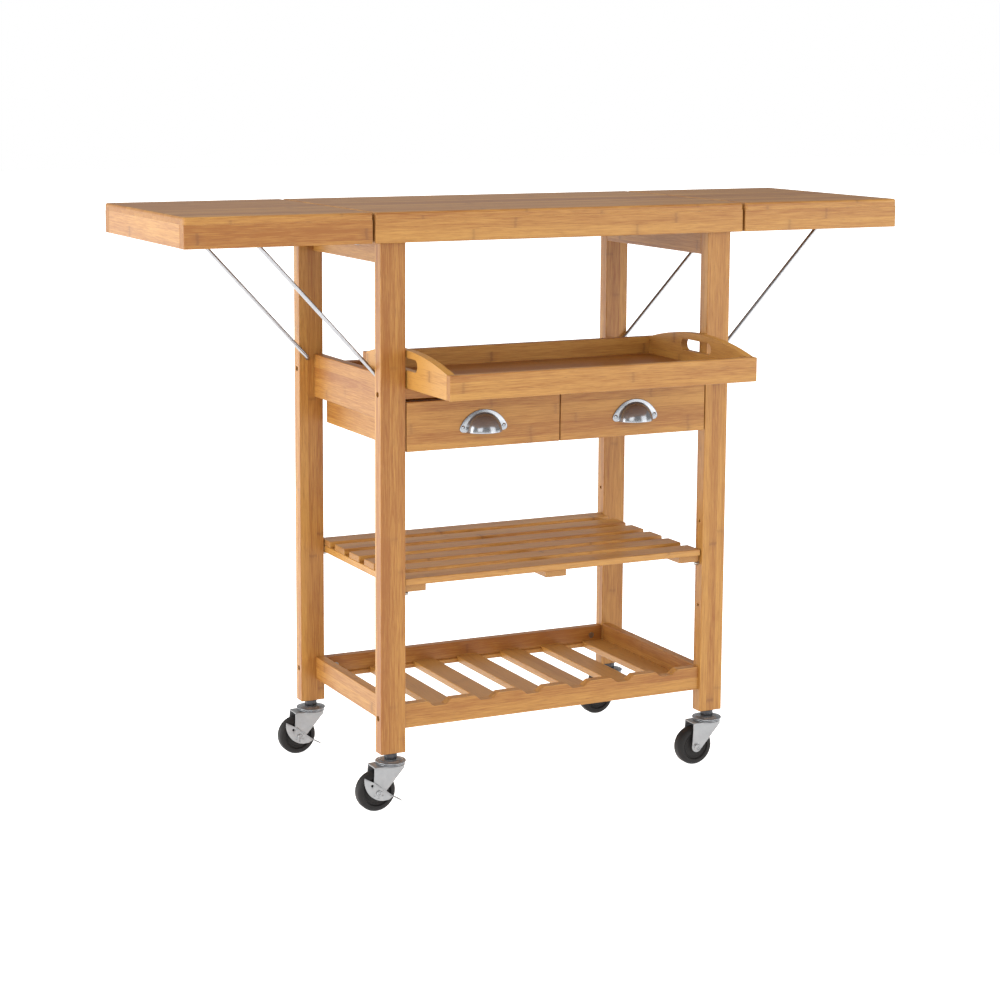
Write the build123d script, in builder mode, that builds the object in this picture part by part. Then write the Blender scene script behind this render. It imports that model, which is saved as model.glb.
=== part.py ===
from build123d import *
import math
import os

os.makedirs("parts", exist_ok=True)

# Rolling bamboo kitchen cart. Millimetres. X runs along the worktop, Y from the front (-) to the
# back (+) and Z up from the floor. Until it is saved, every piece is placed from the middle of
# the legs. It stands with both leaves raised and the serving tray drawn out to the front.

# Worktop and leaves
cart_height = 880.0  # floor to the top of the worktop
worktop_length = 610.0  # fixed middle section, along X
worktop_depth = 363.0  # along Y, the leaves too
leaf_length = 280.0
leaf_gap = 3.0  # joint between the middle section and a raised leaf
panel_thickness = 11.0
panel_corner_radius = 4.5
panel_top_round = 3.5
panel_under_round = 0.4
board_height = 33.0  # boards that stiffen the panels from below
board_thickness = 18.0
board_recess = 0.4  # how far the boards stand back from the panel's edge
eased_edge = 1.2  # round on every sawn edge

# Legs
leg_width = 39.5  # along X
leg_depth = 21.5  # along Y
worktop_overhang_x = 13.5  # worktop past the legs' outer faces
worktop_overhang_y = 13.5

# Rails and boards that join the legs
side_board_thickness = 15.0
upper_side_rail_height = 35.0
rail_recess = 1.0  # front and back rails stand back from the legs' faces
tray_rail_thickness = 18.0
tray_rail_height = 16.0
tray_rail_drop = 211.0  # top of the tray rails below the worktop boards
case_side_height = 67.0
case_side_above_rail = 15.0  # case sides stand above the tray rails to guide the tray
divider_thickness = 12.0

# Serving tray
tray_setback = 14.5  # a stowed tray stands back from the legs' faces
tray_side_clearance = 2.0
tray_board_thickness = 12.0
tray_board_height = 36.0
tray_arch_rise = 19.0  # how much the end boards rise in the middle
tray_slot_length = 87.0
tray_slot_height = 18.0
tray_slot_above_base = 26.0
tray_floor_thickness = 5.0
tray_floor_above_base = 4.0
tray_drawn_out = 159.5
tray_floor_tongue = 4.0  # how deep a floor panel sits in its boards' grooves

# Drawers
drawer_front_height = 73.0
drawer_front_thickness = 15.0
drawer_front_gap = 1.5
drawer_gap_below_rail = 4.0
drawer_side_below_front = 7.0  # box sides are this much lower than the front
drawer_side_thickness = 10.0
drawer_back_clearance = 7.0  # box to the back rail
drawer_clearance = 3.0
drawer_bottom_thickness = 4.0
drawer_bottom_above_base = 10.0
drawer_bottom_tongue = 4.0
runner_projection = 7.0
runner_height = 8.0
runner_below_rail = 19.0  # centre of the runners below the bottom of the tray rails
runner_clearance = 0.5

# Cup pulls
pull_arc_radius = 42.0  # outline of the crescent-shaped flange
pull_height = 33.0
pull_flange_thickness = 1.6
pull_lobe_radius = 6.0
pull_dome_radius = 24.4
pull_wall = 1.6
pull_screw_spacing = 63.0
pull_screw_height = 7.0  # above the flange's lower edge
pull_above_front_base = 23.0
pull_screw_radius = 1.75
pull_screw_length = 12.0
pull_screw_head_radius = 3.4
pull_screw_head_height = 1.6

# Adjustable middle shelf
shelf_top = 344.0
shelf_end_clearance = 1.5
shelf_setback = 4.0  # from the legs' faces
slat_width = 38.0
shelf_slat_thickness = 10.0
shelf_slat_count = 6
batten_width = 35.0
batten_thickness = 10.5
batten_setback = 4.0  # from the outer slats' edges
shelf_pin_radius = 2.5
shelf_pin_in_leg = 12.0
shelf_pin_out = 8.0
shelf_pin_step = 66.5  # spare holes above and below

# Lower rack
lower_rail_above_foot = 35.0  # above the bottom of the legs
lower_rail_height = 36.0
lower_back_rail_height = 33.0
lower_rail_thickness = 15.0
notch_top_width = 40.0
notch_bottom_width = 20.0
notch_depth = 8.0
notch_round = 4.0
lower_slat_count = 7
lower_slat_thickness = 10.0
ledger_width = 5.0
ledger_height = 7.0

# Bolts, barrel nuts and dowels
bolt_radius = 3.0
bolt_head_radius = 4.0
bolt_head_length = 5.0
bolt_socket_radius = 1.8
bolt_hole_clearance = 0.2
bolt_sunk = 4.0  # head below the leg's outer face
bolt_in_rail = 27.0
barrel_nut_radius = 5.0
barrel_nut_length = 11.0
barrel_nut_inset = 20.0  # from the rail's end
dowel_radius = 4.0
dowel_length = 30.0
dowel_clearance = 0.05

# Leaf hinges
hinge_length = 50.0
hinge_plate_width = 21.0
hinge_plate_thickness = 1.5
hinge_knuckle_radius = 3.0
hinge_pin_radius = 1.5
hinge_drop = 3.0  # pin below the boards' undersides
hinge_to_leg = 23.0
knuckle_gap = 0.4
running_clearance = 0.1  # radial

# Wire stays under the leaves
wire_radius = 3.0
stay_pivot_inset = 13.5  # in from the legs' outer faces
stay_pivot_drop = 202.0  # below the worktop boards
stay_side_gap = 2.0  # wire to the legs' facing faces
stay_pivot_depth = 9.0
stay_reach = 205.0  # from the pivot out to the crossbar
stay_pivot_bend = 5.0
stay_corner_bend = 12.0
catch_width = 32.0
catch_length = 110.0
catch_thickness = 12.6
catch_groove_radius = 12.0
catch_groove_depth = 0.7
catch_gap = 0.1

# Casters
wheel_radius = 30.0
wheel_width = 20.0
wheel_shoulder = 6.0
wheel_rim_depth = 9.0
wheel_web_width = 15.0
hub_radius = 8.5
hub_width = 22.0
caster_trail = 25.0
axle_radius = 3.0
axle_head_radius = 4.6
axle_head_height = 1.8
fork_gap = 24.0  # between the side plates
fork_metal = 2.0
fork_top_metal = 2.5
fork_boss_radius = 8.5
fork_disc_radius = 21.5
fork_rear = 31.0
fork_front = 17.0
fork_over_wheel = 6.2
race_radius = 23.0
race_height = 6.9
race_gap = 0.4
king_pin_radius = 5.0
king_pin_head_radius = 8.0
king_pin_head_height = 3.5
stem_radius = 4.0
stem_length = 33.0
stem_nut_flats = 17.0
stem_nut_height = 9.0

# Brake levers of the two left casters, seen from the front and measured from the axle
brake_metal = 1.5
brake_gap = 0.3
brake_tip = (-22.0, 19.0)
brake_shoulder = (6.5, 5.7)
brake_heel = (22.0, -9.3)
brake_toe = (14.2, -16.4)
brake_belly = (-1.2, -16.4)
brake_back = (-19.0, 1.5)
brake_pedal_slope = -31.0  # degrees from level
brake_pedal_past_rim = 2.7  # from the wheel's rim to the wide part of the pedal
brake_pedal_wide_length = 8.9
brake_flange_width = 2.5
brake_pedal_width = 14.0
brake_hole_at = (-11.5, 8.5)
brake_hole_radius = 1.4

# Heights and faces that follow
fork_under = 2 * wheel_radius + fork_over_wheel
fork_top = fork_under + fork_top_metal
race_bottom = fork_top + race_gap
race_top = race_bottom + race_height
leg_bottom = race_top + stem_nut_height

panel_bottom = cart_height - panel_thickness
board_bottom = panel_bottom - board_height
worktop_end = worktop_length / 2
leaf_start = worktop_end + leaf_gap
leaf_end = leaf_start + leaf_length
worktop_face = worktop_depth / 2
board_face = worktop_face - board_recess
board_inner_face = board_face - board_thickness

leg_outer = worktop_end - worktop_overhang_x
leg_inner = leg_outer - leg_width
leg_middle = leg_outer - leg_width / 2
leg_face = worktop_face - worktop_overhang_y
leg_facing = leg_face - leg_depth
leg_row = leg_face - leg_depth / 2
rail_inner_face = leg_facing + rail_recess

tray_rail_top = board_bottom - tray_rail_drop
tray_rail_bottom = tray_rail_top - tray_rail_height
case_side_top = tray_rail_top + case_side_above_rail
case_side_bottom = case_side_top - case_side_height
lower_rail_bottom = leg_bottom + lower_rail_above_foot
lower_rail_top = lower_rail_bottom + lower_rail_height
lower_bolt_height = lower_rail_bottom + lower_rail_height / 2
bolt_heights = (tray_rail_top - tray_rail_height / 2, lower_bolt_height)
dowel_heights = (
    board_bottom - upper_side_rail_height / 2,
    case_side_bottom + case_side_height * 0.45,
    lower_rail_top - 2 * dowel_radius + 1,
)

slide_clearance = 0.3
tray_base = tray_rail_top + slide_clearance
tray_end = leg_inner - tray_side_clearance
tray_depth = 2 * (leg_face - tray_setback)
tray_middle = -tray_drawn_out
tray_front = tray_middle - tray_depth / 2
origin_shift = -(tray_front + worktop_face) / 2

drawer_top = tray_rail_bottom - drawer_gap_below_rail
drawer_base = drawer_top - drawer_front_height
drawer_front_back_face = -leg_face + drawer_front_thickness
drawer_side_height = drawer_front_height - drawer_side_below_front
drawer_back = rail_inner_face - drawer_back_clearance
drawer_outer = leg_inner - drawer_clearance
drawer_inner = divider_thickness / 2 + drawer_clearance
runner_height_z = tray_rail_bottom - runner_below_rail
pull_middle = (leg_inner + divider_thickness / 4) / 2
pull_base = drawer_base + pull_above_front_base

shelf_end = leg_inner - shelf_end_clearance
shelf_half_depth = leg_face - shelf_setback
shelf_slat_pitch = (2 * shelf_half_depth - slat_width) / (shelf_slat_count - 1)
batten_length = 2 * (shelf_half_depth - batten_setback)
shelf_slat_bottom = shelf_top - shelf_slat_thickness
batten_bottom = shelf_slat_bottom - batten_thickness
shelf_pin_height = batten_bottom - shelf_pin_radius
lower_slat_bottom = lower_rail_bottom
lower_slat_top = lower_slat_bottom + lower_slat_thickness
lower_slat_pitch = (2 * leg_inner - slat_width) / (lower_slat_count - 1)
ledger_top = lower_slat_bottom + ledger_height

hinge_axis_x = worktop_end + leaf_gap / 2
hinge_axis_z = board_bottom - hinge_drop
hinge_offset_y = leg_facing - hinge_to_leg - hinge_length / 2
stay_pivot_x = leg_outer - stay_pivot_inset
stay_pivot_z = board_bottom - stay_pivot_drop
stay_arm_y = leg_facing - stay_side_gap - wire_radius
stay_bar_x = stay_pivot_x + stay_reach
catch_bottom = panel_bottom - catch_thickness
stay_bar_z = catch_bottom + catch_groove_depth - catch_gap - wire_radius

fork_outer = fork_gap / 2 + fork_metal
brake_inner_face = -fork_outer - brake_gap
brake_outer_face = brake_inner_face - brake_metal

corners = ((-1, -1, "front_left"), (1, -1, "front_right"), (-1, 1, "back_left"), (1, 1, "back_right"))
sides = ((-1, "left"), (1, "right"))
braked_corners = ("front_left", "back_left")
along = (Align.CENTER, Align.CENTER, Align.MIN)


def save(pieces, name):
    """Write one node: its pieces are moved so that the origin is under the middle of the cart."""
    solids = [piece.moved(Location((0, origin_shift, 0))) for piece in pieces]
    node = solids[0] if len(solids) == 1 else Compound(children=solids)
    node.label = name
    export_step(node, f"parts/{name}.step")


def centres(pitch, count):
    """Evenly spaced places on either side of zero."""
    return [pitch * (i - (count - 1) / 2) for i in range(count)]


def fill(x_range, y_range, z_range, mode=Mode.ADD):
    """Add, or cut, the box between the given limits in the part being built."""
    ranges = (sorted(x_range), sorted(y_range), sorted(z_range))
    middle = [(low + high) / 2 for low, high in ranges]
    with Locations(tuple(middle)):
        Box(*[high - low for low, high in ranges], mode=mode)


def rod(start, direction, radius, length, mode=Mode.ADD):
    """Add, or bore, a cylinder that runs from start along direction."""
    with Locations(Plane(origin=start, z_dir=direction)):
        Cylinder(radius, length, align=along, mode=mode)


def board(x_range, y_range, z_range, edge=eased_edge, glued_top=False):
    """A plain board with eased edges, except round a top that is glued under a panel."""
    with BuildPart() as plain_board:
        fill(x_range, y_range, z_range)
        lower, upright, upper = plain_board.edges().group_by(Axis.Z)
        fillet(lower + upright if glued_top else lower + upright + upper, edge)
    return plain_board.part


# Worktop and leaf panels: solid boards with a well rounded rim
def make_panel(x_start, x_end):
    with BuildPart() as panel:
        with BuildSketch(Plane.XY.offset(panel_bottom)):
            with Locations(((x_start + x_end) / 2, 0)):
                RectangleRounded(abs(x_end - x_start), worktop_depth, panel_corner_radius)
        extrude(amount=panel_thickness)
        fillet(panel.faces().sort_by(Axis.Z)[-1].edges(), panel_top_round)
        fillet(panel.faces().sort_by(Axis.Z)[0].edges(), panel_under_round)
    return panel.part


board_heights = (board_bottom, panel_bottom)


def make_long_boards(x_start, x_end):
    """Front and back stiffening boards, which run the full length."""
    return [
        board(
            (x_start, x_end), (side_y * board_inner_face, side_y * board_face), board_heights,
            glued_top=True,
        )
        for side_y in (-1, 1)
    ]


def make_cross_board(x_outer, x_inner):
    """A stiffening board across one end, between the front and back boards."""
    y_range = (-board_inner_face, board_inner_face)
    return board((x_outer, x_inner), y_range, board_heights, glued_top=True)


worktop_board_end = worktop_end - board_recess
save([make_panel(-worktop_end, worktop_end)], "worktop_panel")
save(make_long_boards(-worktop_board_end, worktop_board_end), "worktop_long_boards")
save(
    [make_cross_board(s * worktop_board_end, s * (worktop_board_end - board_thickness)) for s in (-1, 1)],
    "worktop_end_boards",
)

# Blocks in the corners of the worktop frame, which stand on the legs
corner_block_end = worktop_board_end - board_thickness
save(
    [
        board(
            (side_x * leg_inner, side_x * corner_block_end),
            (side_y * leg_facing, side_y * board_inner_face),
            board_heights,
        )
        for side_x, side_y, _ in corners
    ],
    "worktop_corner_blocks",
)


# Legs, bored for the bolts, dowels, shelf pins, stays and caster stems
def make_leg(side_x, side_y):
    outward = (side_x, 0, 0)
    inward = (-side_x, 0, 0)
    bolt_bore = bolt_radius + bolt_hole_clearance
    head_bore = bolt_head_radius + bolt_hole_clearance
    with BuildPart() as leg:
        fill(
            (side_x * leg_inner, side_x * leg_outer),
            (side_y * leg_facing, side_y * leg_face),
            (leg_bottom, board_bottom),
        )
        fillet(leg.edges(), eased_edge)
        for height in bolt_heights:
            mouth = (side_x * leg_outer, side_y * leg_row, height)
            rod(mouth, inward, bolt_bore, leg_width, Mode.SUBTRACT)
            rod(mouth, inward, head_bore, bolt_sunk + bolt_head_length, Mode.SUBTRACT)
        for step in (-1, 0, 1):
            height = shelf_pin_height + step * shelf_pin_step
            mouth = (side_x * leg_inner, side_y * leg_row, height)
            rod(mouth, outward, shelf_pin_radius, shelf_pin_in_leg, Mode.SUBTRACT)
        for height in dowel_heights:
            mouth = (side_x * (leg_inner + side_board_thickness / 2), side_y * leg_facing, height)
            rod(mouth, (0, side_y, 0), dowel_radius + dowel_clearance, dowel_length / 2, Mode.SUBTRACT)
        pivot = (side_x * stay_pivot_x, side_y * leg_facing, stay_pivot_z)
        rod(pivot, (0, side_y, 0), wire_radius + running_clearance, stay_pivot_depth + 1, Mode.SUBTRACT)
        socket = (side_x * leg_middle, side_y * leg_row, leg_bottom)
        rod(socket, (0, 0, 1), stem_radius, stem_length, Mode.SUBTRACT)
    return leg.part


for side_x, side_y, corner in corners:
    save([make_leg(side_x, side_y)], f"leg_{corner}")


# Side rails and boards between a front and a back leg, dowelled at both ends
def make_side_board(side_x, z_range, dowel_height):
    x_middle = side_x * (leg_inner + side_board_thickness / 2)
    with BuildPart() as side_board:
        fill((x_middle - side_board_thickness / 2, x_middle + side_board_thickness / 2),
             (-leg_facing, leg_facing), z_range)
        fillet(side_board.edges(), eased_edge)
        for side_y in (-1, 1):
            mouth = (x_middle, side_y * leg_facing, dowel_height)
            bore_radius = dowel_radius + dowel_clearance
            rod(mouth, (0, -side_y, 0), bore_radius, dowel_length / 2, Mode.SUBTRACT)
    return side_board.part


side_board_heights = (
    ("upper_side_rails", (board_bottom - upper_side_rail_height, board_bottom)),
    ("drawer_case_sides", (case_side_bottom, case_side_top)),
    ("lower_side_rails", (lower_rail_bottom, lower_rail_top)),
)
for (name, z_range), dowel_height in zip(side_board_heights, dowel_heights):
    save([make_side_board(side_x, z_range, dowel_height) for side_x, _ in sides], name)

dowels = []
for side_x, side_y, _ in corners:
    for height in dowel_heights:
        with BuildPart() as dowel:
            start = (
                side_x * (leg_inner + side_board_thickness / 2),
                side_y * (leg_facing - dowel_length / 2),
                height,
            )
            rod(start, (0, side_y, 0), dowel_radius, dowel_length)
        dowels.append(dowel.part)
save(dowels, "frame_dowels")


# Front and back rails, each held by a bolt and a barrel nut at either end
def bore_for_bolts(side_y, height):
    """Cut the bolt and barrel nut holes in both ends of the rail being built."""
    for side_x, _ in sides:
        end = (side_x * leg_inner, side_y * leg_row, height)
        bolt_bore = bolt_radius + bolt_hole_clearance
        rod(end, (-side_x, 0, 0), bolt_bore, bolt_in_rail + bolt_radius, Mode.SUBTRACT)
        mouth = (side_x * (leg_inner - barrel_nut_inset), side_y * rail_inner_face, height)
        rod(mouth, (0, side_y, 0), barrel_nut_radius + dowel_clearance, barrel_nut_length, Mode.SUBTRACT)


def make_rail(side_y, thickness, z_range, bolt_height):
    with BuildPart() as rail:
        fill(
            (-leg_inner, leg_inner),
            (side_y * rail_inner_face, side_y * (rail_inner_face + thickness)),
            z_range,
        )
        fillet(rail.edges(), eased_edge)
        bore_for_bolts(side_y, bolt_height)
    return rail.part


upper_bolt_height = bolt_heights[0]
for side_y, name in ((-1, "tray_rail_front"), (1, "tray_rail_back")):
    rail = make_rail(side_y, tray_rail_thickness, (tray_rail_bottom, tray_rail_top), upper_bolt_height)
    save([rail], name)

lower_back_rail_heights = (lower_rail_bottom, lower_rail_bottom + lower_back_rail_height)
save([make_rail(1, lower_rail_thickness, lower_back_rail_heights, lower_bolt_height)], "lower_rail_back")

# The lower front rail is notched between the slats, so that bottles lie in the dips
with BuildPart() as lower_front_rail:
    with BuildSketch(Plane.XZ.offset(rail_inner_face)) as rail_outline:
        with Locations((0, lower_rail_bottom + lower_rail_height / 2)):
            Rectangle(2 * leg_inner, lower_rail_height)
        with Locations(*[(x, lower_rail_top) for x in centres(lower_slat_pitch, lower_slat_count - 1)]):
            Polygon(
                (-notch_top_width / 2, 0),
                (-notch_bottom_width / 2, -notch_depth),
                (notch_bottom_width / 2, -notch_depth),
                (notch_top_width / 2, 0),
                align=None,
                mode=Mode.SUBTRACT,
            )
        notch_corners = rail_outline.vertices().filter_by(
            lambda v: abs(v.X) < leg_inner - notch_round and v.Y > lower_rail_top - notch_depth - notch_round
        )
        fillet(notch_corners, notch_round)
    extrude(amount=lower_rail_thickness)
    bore_for_bolts(-1, lower_bolt_height)
save([lower_front_rail.part], "lower_rail_front")

bolts = []
barrel_nuts = []
for side_x, side_y, _ in corners:
    for height in bolt_heights:
        head_outside = side_x * (leg_outer - bolt_sunk)
        shank_length = leg_width - bolt_sunk + bolt_in_rail
        nut_x = side_x * (leg_inner - barrel_nut_inset)
        with BuildPart() as bolt:
            start = (head_outside, side_y * leg_row, height)
            rod(start, (-side_x, 0, 0), bolt_head_radius, bolt_head_length)
            rod(start, (-side_x, 0, 0), bolt_radius, shank_length)
            with BuildSketch(Plane(origin=start, z_dir=(-side_x, 0, 0))):
                RegularPolygon(bolt_socket_radius, 6)
            extrude(amount=bolt_head_length * 0.6, mode=Mode.SUBTRACT)
        bolts.append(bolt.part)
        with BuildPart() as barrel_nut:
            start = (nut_x, side_y * rail_inner_face, height)
            rod(start, (0, side_y, 0), barrel_nut_radius, barrel_nut_length)
            start = (nut_x + barrel_nut_radius, side_y * leg_row, height)
            rod(start, (-1, 0, 0), bolt_radius, 2 * barrel_nut_radius, Mode.SUBTRACT)
        barrel_nuts.append(barrel_nut.part)
save(bolts, "frame_bolts")
save(barrel_nuts, "barrel_nuts")

# Divider between the drawers, and the hardwood runners that the drawers slide on
divider_heights = (case_side_bottom, tray_rail_top - slide_clearance)
divider_faces = (-divider_thickness / 2, divider_thickness / 2)
save([board(divider_faces, (-rail_inner_face, rail_inner_face), divider_heights)], "drawer_divider")

runner_heights = (runner_height_z - runner_height / 2, runner_height_z + runner_height / 2)
runners = []
for side_x, _ in sides:
    for wall in (leg_inner, divider_thickness / 2 + runner_projection):
        x_range = (side_x * (wall - runner_projection), side_x * wall)
        runners.append(board(x_range, (-leg_facing, leg_facing), runner_heights))
save(runners, "drawer_runners")


# Serving tray: four boards round a floor panel, with a hand slot through each arched end board
tray_floor_range = (
    (-tray_end + tray_board_thickness - tray_floor_tongue, tray_end - tray_board_thickness + tray_floor_tongue),
    (
        tray_front + tray_board_thickness - tray_floor_tongue,
        tray_front + tray_depth - tray_board_thickness + tray_floor_tongue,
    ),
    (tray_base + tray_floor_above_base, tray_base + tray_floor_above_base + tray_floor_thickness),
)
with BuildPart() as tray_floor:
    fill(*tray_floor_range)
save([tray_floor.part], "tray_floor")

tray_back = tray_front + tray_depth
tray_long_boards = []
for y_range in (
    (tray_front, tray_front + tray_board_thickness),
    (tray_back - tray_board_thickness, tray_back),
):
    with BuildPart() as tray_board:
        fill((-tray_end, tray_end), y_range, (tray_base, tray_base + tray_board_height))
        fillet(tray_board.edges(), eased_edge)
        fill(*tray_floor_range, mode=Mode.SUBTRACT)
    tray_long_boards.append(tray_board.part)
save(tray_long_boards, "tray_long_boards")

tray_end_boards = []
tray_end_half = tray_depth / 2 - tray_board_thickness
for side_x, _ in sides:
    x_inner = side_x * tray_end - (side_x + 1) / 2 * tray_board_thickness
    with BuildPart() as end_board:
        with BuildSketch(Plane.YZ.offset(x_inner)) as end_outline:
            with BuildLine():
                base_left = (tray_middle - tray_end_half, tray_base)
                base_right = (tray_middle + tray_end_half, tray_base)
                top_left = (tray_middle - tray_end_half, tray_base + tray_board_height)
                top_right = (tray_middle + tray_end_half, tray_base + tray_board_height)
                crown = (tray_middle, tray_base + tray_board_height + tray_arch_rise)
                Polyline(top_left, base_left, base_right, top_right)
                ThreePointArc(top_left, crown, top_right)
            make_face()
            with Locations((tray_middle, tray_base + tray_slot_above_base + tray_slot_height / 2)):
                SlotOverall(tray_slot_length, tray_slot_height, mode=Mode.SUBTRACT)
        extrude(amount=tray_board_thickness)
        fillet(end_board.edges().filter_by(GeomType.LINE).filter_by(Axis.X, reverse=True), eased_edge / 2)
        fill(*tray_floor_range, mode=Mode.SUBTRACT)
    tray_end_boards.append(end_board.part)
save(tray_end_boards, "tray_end_boards")


# Drawers
def make_drawer(side_x, side):
    """Front, box and bottom of one drawer, and its cup pull."""
    across = lambda *places: tuple(sorted(side_x * place for place in places))
    front_outer = leg_inner - drawer_front_gap
    front_range = across(drawer_front_gap / 2, front_outer)
    side_heights = (drawer_base, drawer_base + drawer_side_height)
    box_length = (drawer_front_back_face, drawer_back)
    bottom_range = (
        across(
            drawer_inner + drawer_side_thickness - drawer_bottom_tongue,
            drawer_outer - drawer_side_thickness + drawer_bottom_tongue,
        ),
        (
            drawer_front_back_face - drawer_bottom_tongue,
            drawer_back - drawer_side_thickness + drawer_bottom_tongue,
        ),
        (
            drawer_base + drawer_bottom_above_base,
            drawer_base + drawer_bottom_above_base + drawer_bottom_thickness,
        ),
    )
    with BuildPart() as bottom:
        fill(*bottom_range)
    save([bottom.part], f"drawer_bottom_{side}")

    screw_places = [
        (side_x * pull_middle + offset, pull_base + pull_screw_height)
        for offset in centres(pull_screw_spacing, 2)
    ]
    with BuildPart() as front:
        fill(front_range, (-leg_face, drawer_front_back_face), (drawer_base, drawer_top))
        fillet(front.edges(), eased_edge)
        fill(*bottom_range, mode=Mode.SUBTRACT)
        for x, z in screw_places:
            rod((x, -leg_face, z), (0, 1, 0), pull_screw_radius, pull_screw_length, Mode.SUBTRACT)
    save([front.part], f"drawer_front_{side}")

    # Each side is grooved outside for its runner and inside for the bottom
    groove_depth = runner_projection - drawer_clearance + runner_clearance
    groove_half = runner_height / 2 + runner_clearance
    groove_heights = (runner_height_z - groove_half, runner_height_z + groove_half)
    box = []
    for outside, inside in (
        (drawer_outer, drawer_outer - drawer_side_thickness),
        (drawer_inner, drawer_inner + drawer_side_thickness),
    ):
        toward_middle = 1 if inside > outside else -1
        with BuildPart() as box_side:
            fill(across(outside, inside), box_length, side_heights)
            fillet(box_side.edges(), eased_edge)
            fill(across(outside, outside + toward_middle * groove_depth), box_length, groove_heights,
                 mode=Mode.SUBTRACT)
            fill(*bottom_range, mode=Mode.SUBTRACT)
        box.append(box_side.part)
    with BuildPart() as box_back:
        fill(
            across(drawer_inner + drawer_side_thickness, drawer_outer - drawer_side_thickness),
            (drawer_back - drawer_side_thickness, drawer_back),
            side_heights,
        )
        fillet(box_back.edges(), eased_edge)
        fill(*bottom_range, mode=Mode.SUBTRACT)
    box.append(box_back.part)
    save(box, f"drawer_box_{side}")

    pull_x = side_x * pull_middle
    arc_centre = pull_base + pull_height - pull_arc_radius
    with BuildPart() as pull:
        with BuildSketch(Plane.XZ.offset(leg_face)) as flange:
            with Locations((pull_x, arc_centre)):
                Circle(pull_arc_radius)
            with Locations((pull_x, pull_base - pull_arc_radius)):
                Rectangle(3 * pull_arc_radius, 2 * pull_arc_radius, mode=Mode.SUBTRACT)
            fillet(flange.vertices(), pull_lobe_radius)
            with Locations((pull_x, pull_base)):
                Circle(pull_dome_radius - pull_wall, mode=Mode.SUBTRACT)
        extrude(amount=pull_flange_thickness)
        dome_centre = (pull_x, -leg_face, pull_base)
        quarter_align = (Align.CENTER, Align.MIN, Align.MIN)
        with Locations(Location(dome_centre, (0, 0, 180))):
            Sphere(pull_dome_radius, arc_size1=0, arc_size3=180, align=quarter_align)
            Sphere(pull_dome_radius - pull_wall, mode=Mode.SUBTRACT)
        for x, z in screw_places:
            rod((x, -leg_face, z), (0, -1, 0), pull_screw_radius, pull_flange_thickness, Mode.SUBTRACT)
    pull_pieces = [pull.part]
    for x, z in screw_places:
        head_back = -leg_face - pull_flange_thickness
        with BuildPart() as screw:
            rod((x, head_back, z), (0, -1, 0), pull_screw_head_radius, pull_screw_head_height)
            fillet(screw.edges().sort_by(Axis.Y)[0], pull_screw_head_height * 0.8)
            rod((x, head_back, z), (0, 1, 0), pull_screw_radius, pull_screw_length + pull_flange_thickness)
        pull_pieces.append(screw.part)
    save(pull_pieces, f"cup_pull_{side}")


for side_x, side in sides:
    make_drawer(side_x, side)

# Adjustable shelf: slats along the cart on three battens, resting on four pins
shelf_slats = [
    board((-shelf_end, shelf_end), (y - slat_width / 2, y + slat_width / 2), (shelf_slat_bottom, shelf_top))
    for y in centres(shelf_slat_pitch, shelf_slat_count)
]
save(shelf_slats, "shelf_slats")
shelf_battens = [
    board(
        (x - batten_width / 2, x + batten_width / 2),
        (-batten_length / 2, batten_length / 2),
        (batten_bottom, shelf_slat_bottom),
    )
    for x in centres(shelf_end - batten_width / 2, 3)
]
save(shelf_battens, "shelf_battens")
shelf_pins = []
for side_x, side_y, _ in corners:
    with BuildPart() as shelf_pin:
        start = (side_x * (leg_inner + shelf_pin_in_leg), side_y * leg_row, shelf_pin_height)
        rod(start, (-side_x, 0, 0), shelf_pin_radius, shelf_pin_in_leg + shelf_pin_out)
    shelf_pins.append(shelf_pin.part)
save(shelf_pins, "shelf_pins")

# Lower rack: slats level with the bottom of the rails, their ends cut to lie over thin ledgers
def make_lower_slat(x):
    with BuildPart() as lower_slat:
        fill(
            (x - slat_width / 2, x + slat_width / 2),
            (-rail_inner_face, rail_inner_face),
            (lower_slat_bottom, lower_slat_top),
        )
        fillet(lower_slat.edges(), eased_edge)
        for side_y in (-1, 1):
            fill(
                (x - slat_width, x + slat_width),
                (side_y * (rail_inner_face - ledger_width), side_y * (rail_inner_face + ledger_width)),
                (lower_slat_bottom - ledger_height, ledger_top),
                Mode.SUBTRACT,
            )
    return lower_slat.part


save([make_lower_slat(x) for x in centres(lower_slat_pitch, lower_slat_count)], "lower_slats")
ledgers = [
    board(
        (-leg_inner, leg_inner),
        (side_y * (rail_inner_face - ledger_width), side_y * rail_inner_face),
        (lower_slat_bottom, ledger_top),
    )
    for side_y in (-1, 1)
]
save(ledgers, "lower_ledgers")

# Leaf hinges: a fixed half with two knuckles and the pin, and a moving half with one knuckle
knuckle_length = (hinge_length - 2 * knuckle_gap) / 3
knuckle_edge = hinge_knuckle_radius + knuckle_gap
outer_knuckles = (
    (-hinge_length / 2, -hinge_length / 2 + knuckle_length),
    (hinge_length / 2 - knuckle_length, hinge_length / 2),
)
inner_knuckle = ((-knuckle_length / 2, knuckle_length / 2),)


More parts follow.
